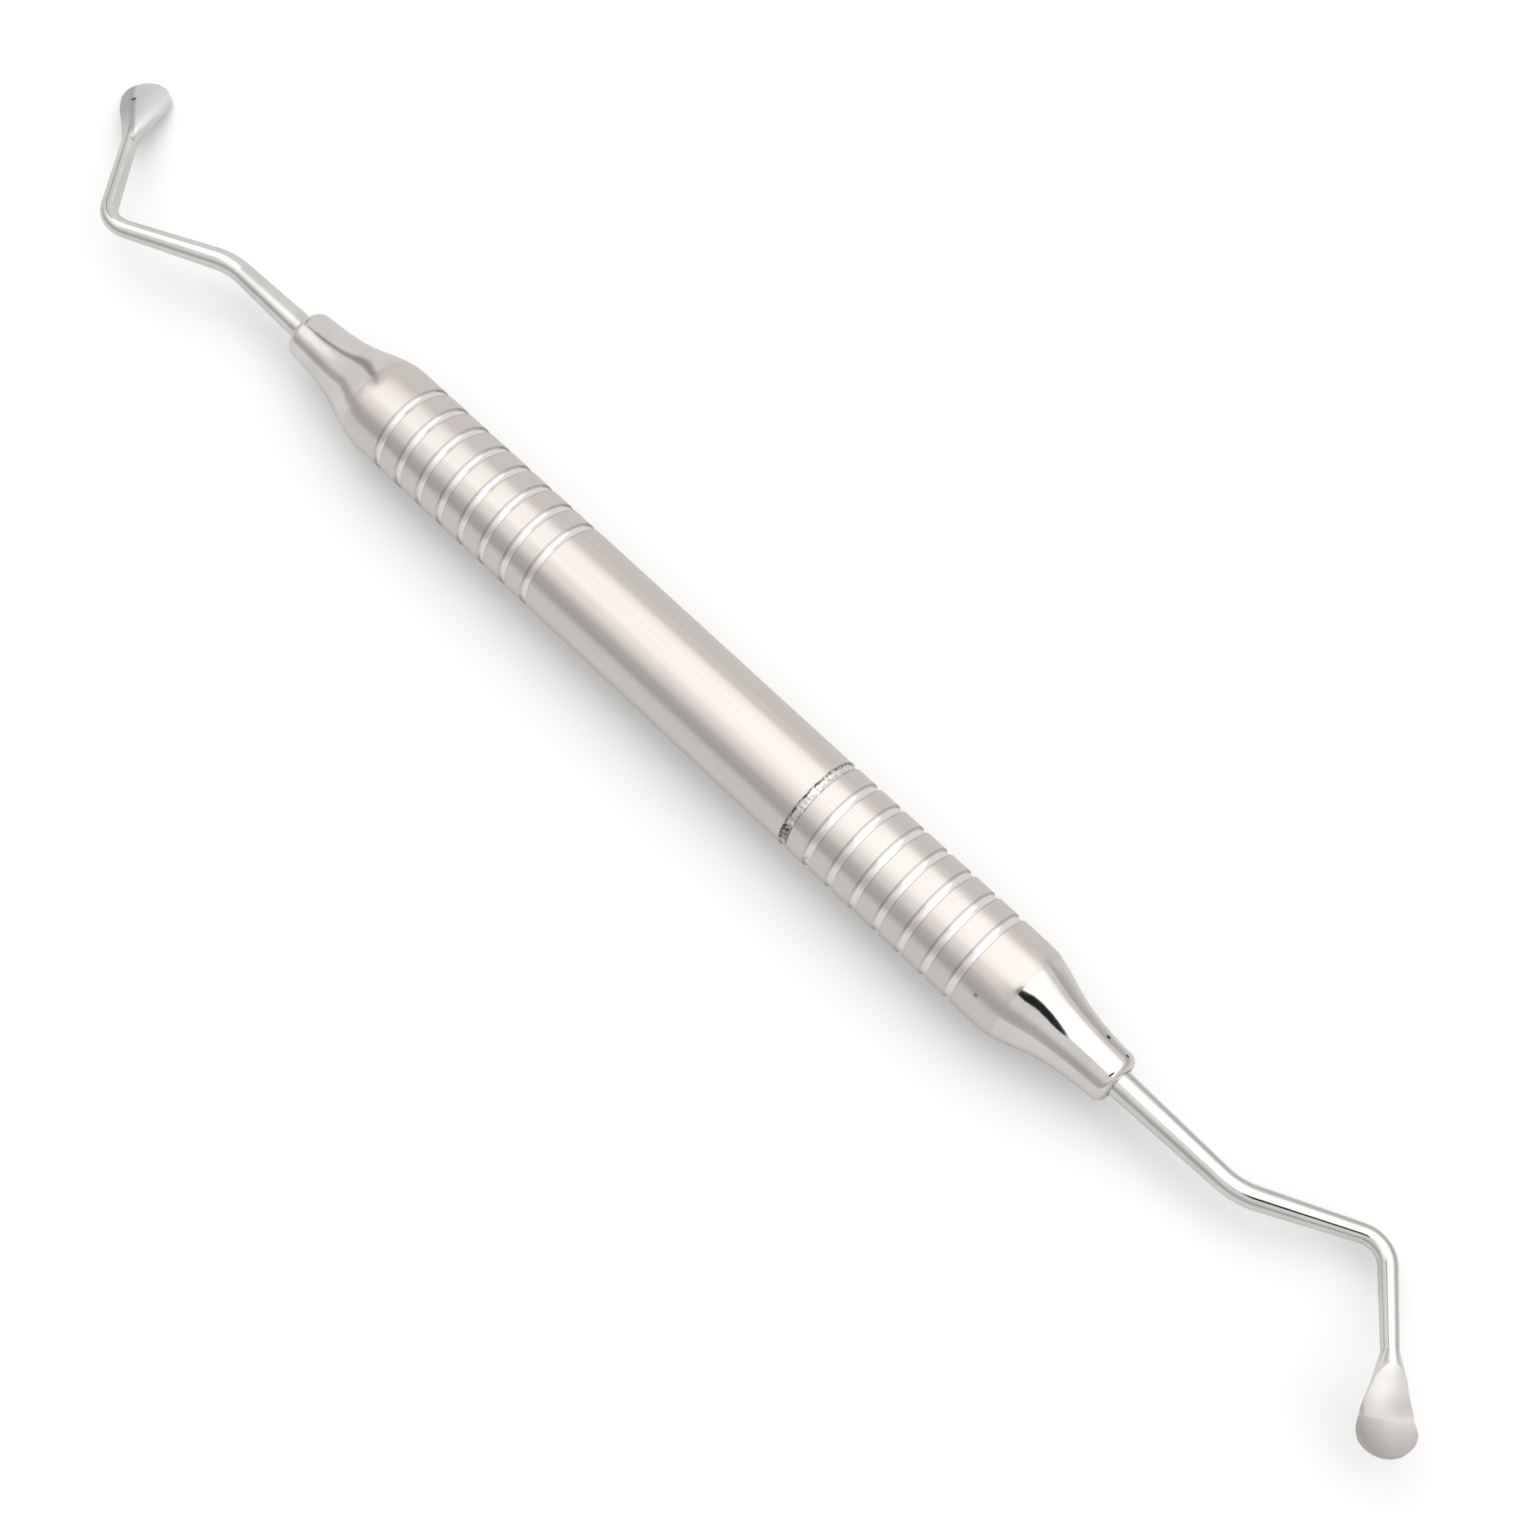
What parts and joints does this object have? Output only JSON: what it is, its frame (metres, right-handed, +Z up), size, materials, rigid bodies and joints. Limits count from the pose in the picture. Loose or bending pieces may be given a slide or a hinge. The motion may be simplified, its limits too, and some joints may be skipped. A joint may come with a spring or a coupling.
{
  "type": "surgical curette",
  "caption": "Double-ended hand curette: grooved round metal handle with a bent, tapering shank and a hollowed spoon at each end.",
  "frame": {"origin": "on the surface that the handle lies on, under the middle of the handle, and within 0.8 mm of the middle of the whole outline", "axes": "X along the handle, +Z up, the plane of both bends rolled 26.4 degrees from level with the left spoon's side down, so that the left spoon touches the surface"},
  "size_m": [0.1866, 0.0177, 0.0101],
  "materials": {
    "satin_steel": "satin, brushed lengthwise",
    "polished_steel": "polished",
    "bright_steel": "polished"
  },
  "bodies": {
    "root": {"handle_barrel": "satin_steel", "left_ferrule": "polished_steel", "right_ferrule": "polished_steel", "left_working_end": "bright_steel", "right_working_end": "bright_steel"}
  },
  "joints": []
}
